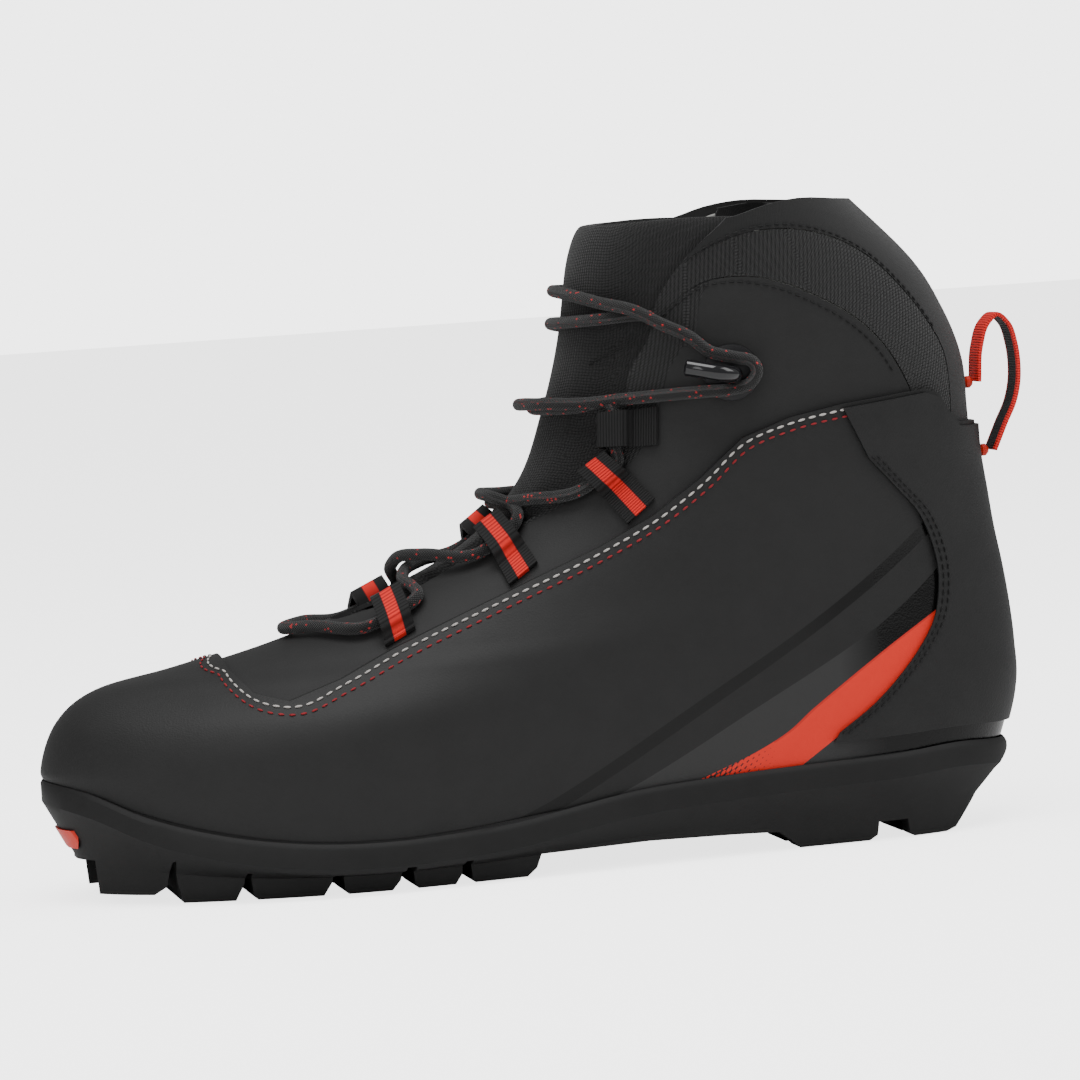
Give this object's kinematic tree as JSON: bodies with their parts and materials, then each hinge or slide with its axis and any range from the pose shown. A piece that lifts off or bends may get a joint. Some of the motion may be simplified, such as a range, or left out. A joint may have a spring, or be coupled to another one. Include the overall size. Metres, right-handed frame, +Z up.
{
  "type": "cross country ski boot",
  "caption": "Low cuffed lace-up ski boot with padded collar, webbing lace loops, ankle hooks, heel pull loop and a grooved rubber sole with a steel toe bar that flexes at the ball of the foot.",
  "frame": {"origin": "centre of the length and width of the boot, on the ground under the tread", "axes": "+X towards the heel, +Z up, +Y towards the inner side of this left boot"},
  "size_m": [0.3132, 0.0987, 0.1982],
  "materials": {
    "rubber": "matt moulded rubber",
    "shell": "matt coated synthetic leather",
    "panel": "smooth coated fabric",
    "mesh": "open woven mesh",
    "tongue": "brushed knit over foam",
    "lining": "pile lining",
    "foam": "foam and moulded stiffener",
    "board": "fibre board",
    "red": "satin red",
    "webbing": "woven tape",
    "lace": "braided cord",
    "steel": "bright",
    "plastic": "gloss black"
  },
  "bodies": {
    "boot": {"outsole_flex": "rubber", "outsole_rear": "rubber", "hook_pad_outer": "rubber", "hook_pad_inner": "rubber", "shank": "steel", "hook_rivet_outer": "steel", "hook_rivet_inner": "steel", "lasting_board_rear": "board", "vamp_flex": "shell", "quarter_shell": "shell", "heel_overlay": "shell", "heel_counter": "foam", "collar_foam": "foam", "throat_gusset": "panel", "ankle_panel": "panel", "collar_rim": "panel", "collar_mesh_outer": "mesh", "collar_mesh_inner": "mesh", "tongue": "tongue", "insole": "lining", "lining_flex": "lining", "boot_lining": "lining", "lace_loop_1_outer": "webbing", "lace_loop_1_inner": "webbing", "lace_loop_2_outer": "webbing", "lace_loop_2_inner": "webbing", "lace_loop_3_outer": "webbing", "lace_loop_3_inner": "webbing", "ankle_keeper_outer": "webbing", "ankle_keeper_inner": "webbing", "pull_anchor_upper": "webbing", "pull_anchor_lower": "webbing", "hook_outer": "plastic", "hook_inner": "plastic", "aglet_outer": "plastic", "aglet_inner": "plastic", "lace": "lace"},
    "forefoot": {"outsole_front": "rubber", "binding_bar": "steel", "toe_insert": "red", "lasting_board_front": "board", "vamp_shell": "shell", "toe_puff": "foam", "toe_lining": "lining"},
    "pull_loop": {"pull_loop": "red"}
  },
  "joints": [
    {"name": "forefoot_flex", "type": "hinge", "parent": "boot", "child": "forefoot", "pos_m": [-0.07491, 0, 0.0068], "axis": [0, 1, 0], "range_deg": [0, 25], "stiffness_Nm_per_rad": 1.5, "deforming": ["outsole_flex", "vamp_flex", "throat_gusset", "lining_flex", "insole"]},
    {"name": "pull_loop_swing", "type": "hinge", "parent": "boot", "child": "pull_loop", "pos_m": [0.14282, -0.0001, 0.137], "axis": [-0.1775, 0, 0.9841], "range_deg": [-40, 40]}
  ]
}
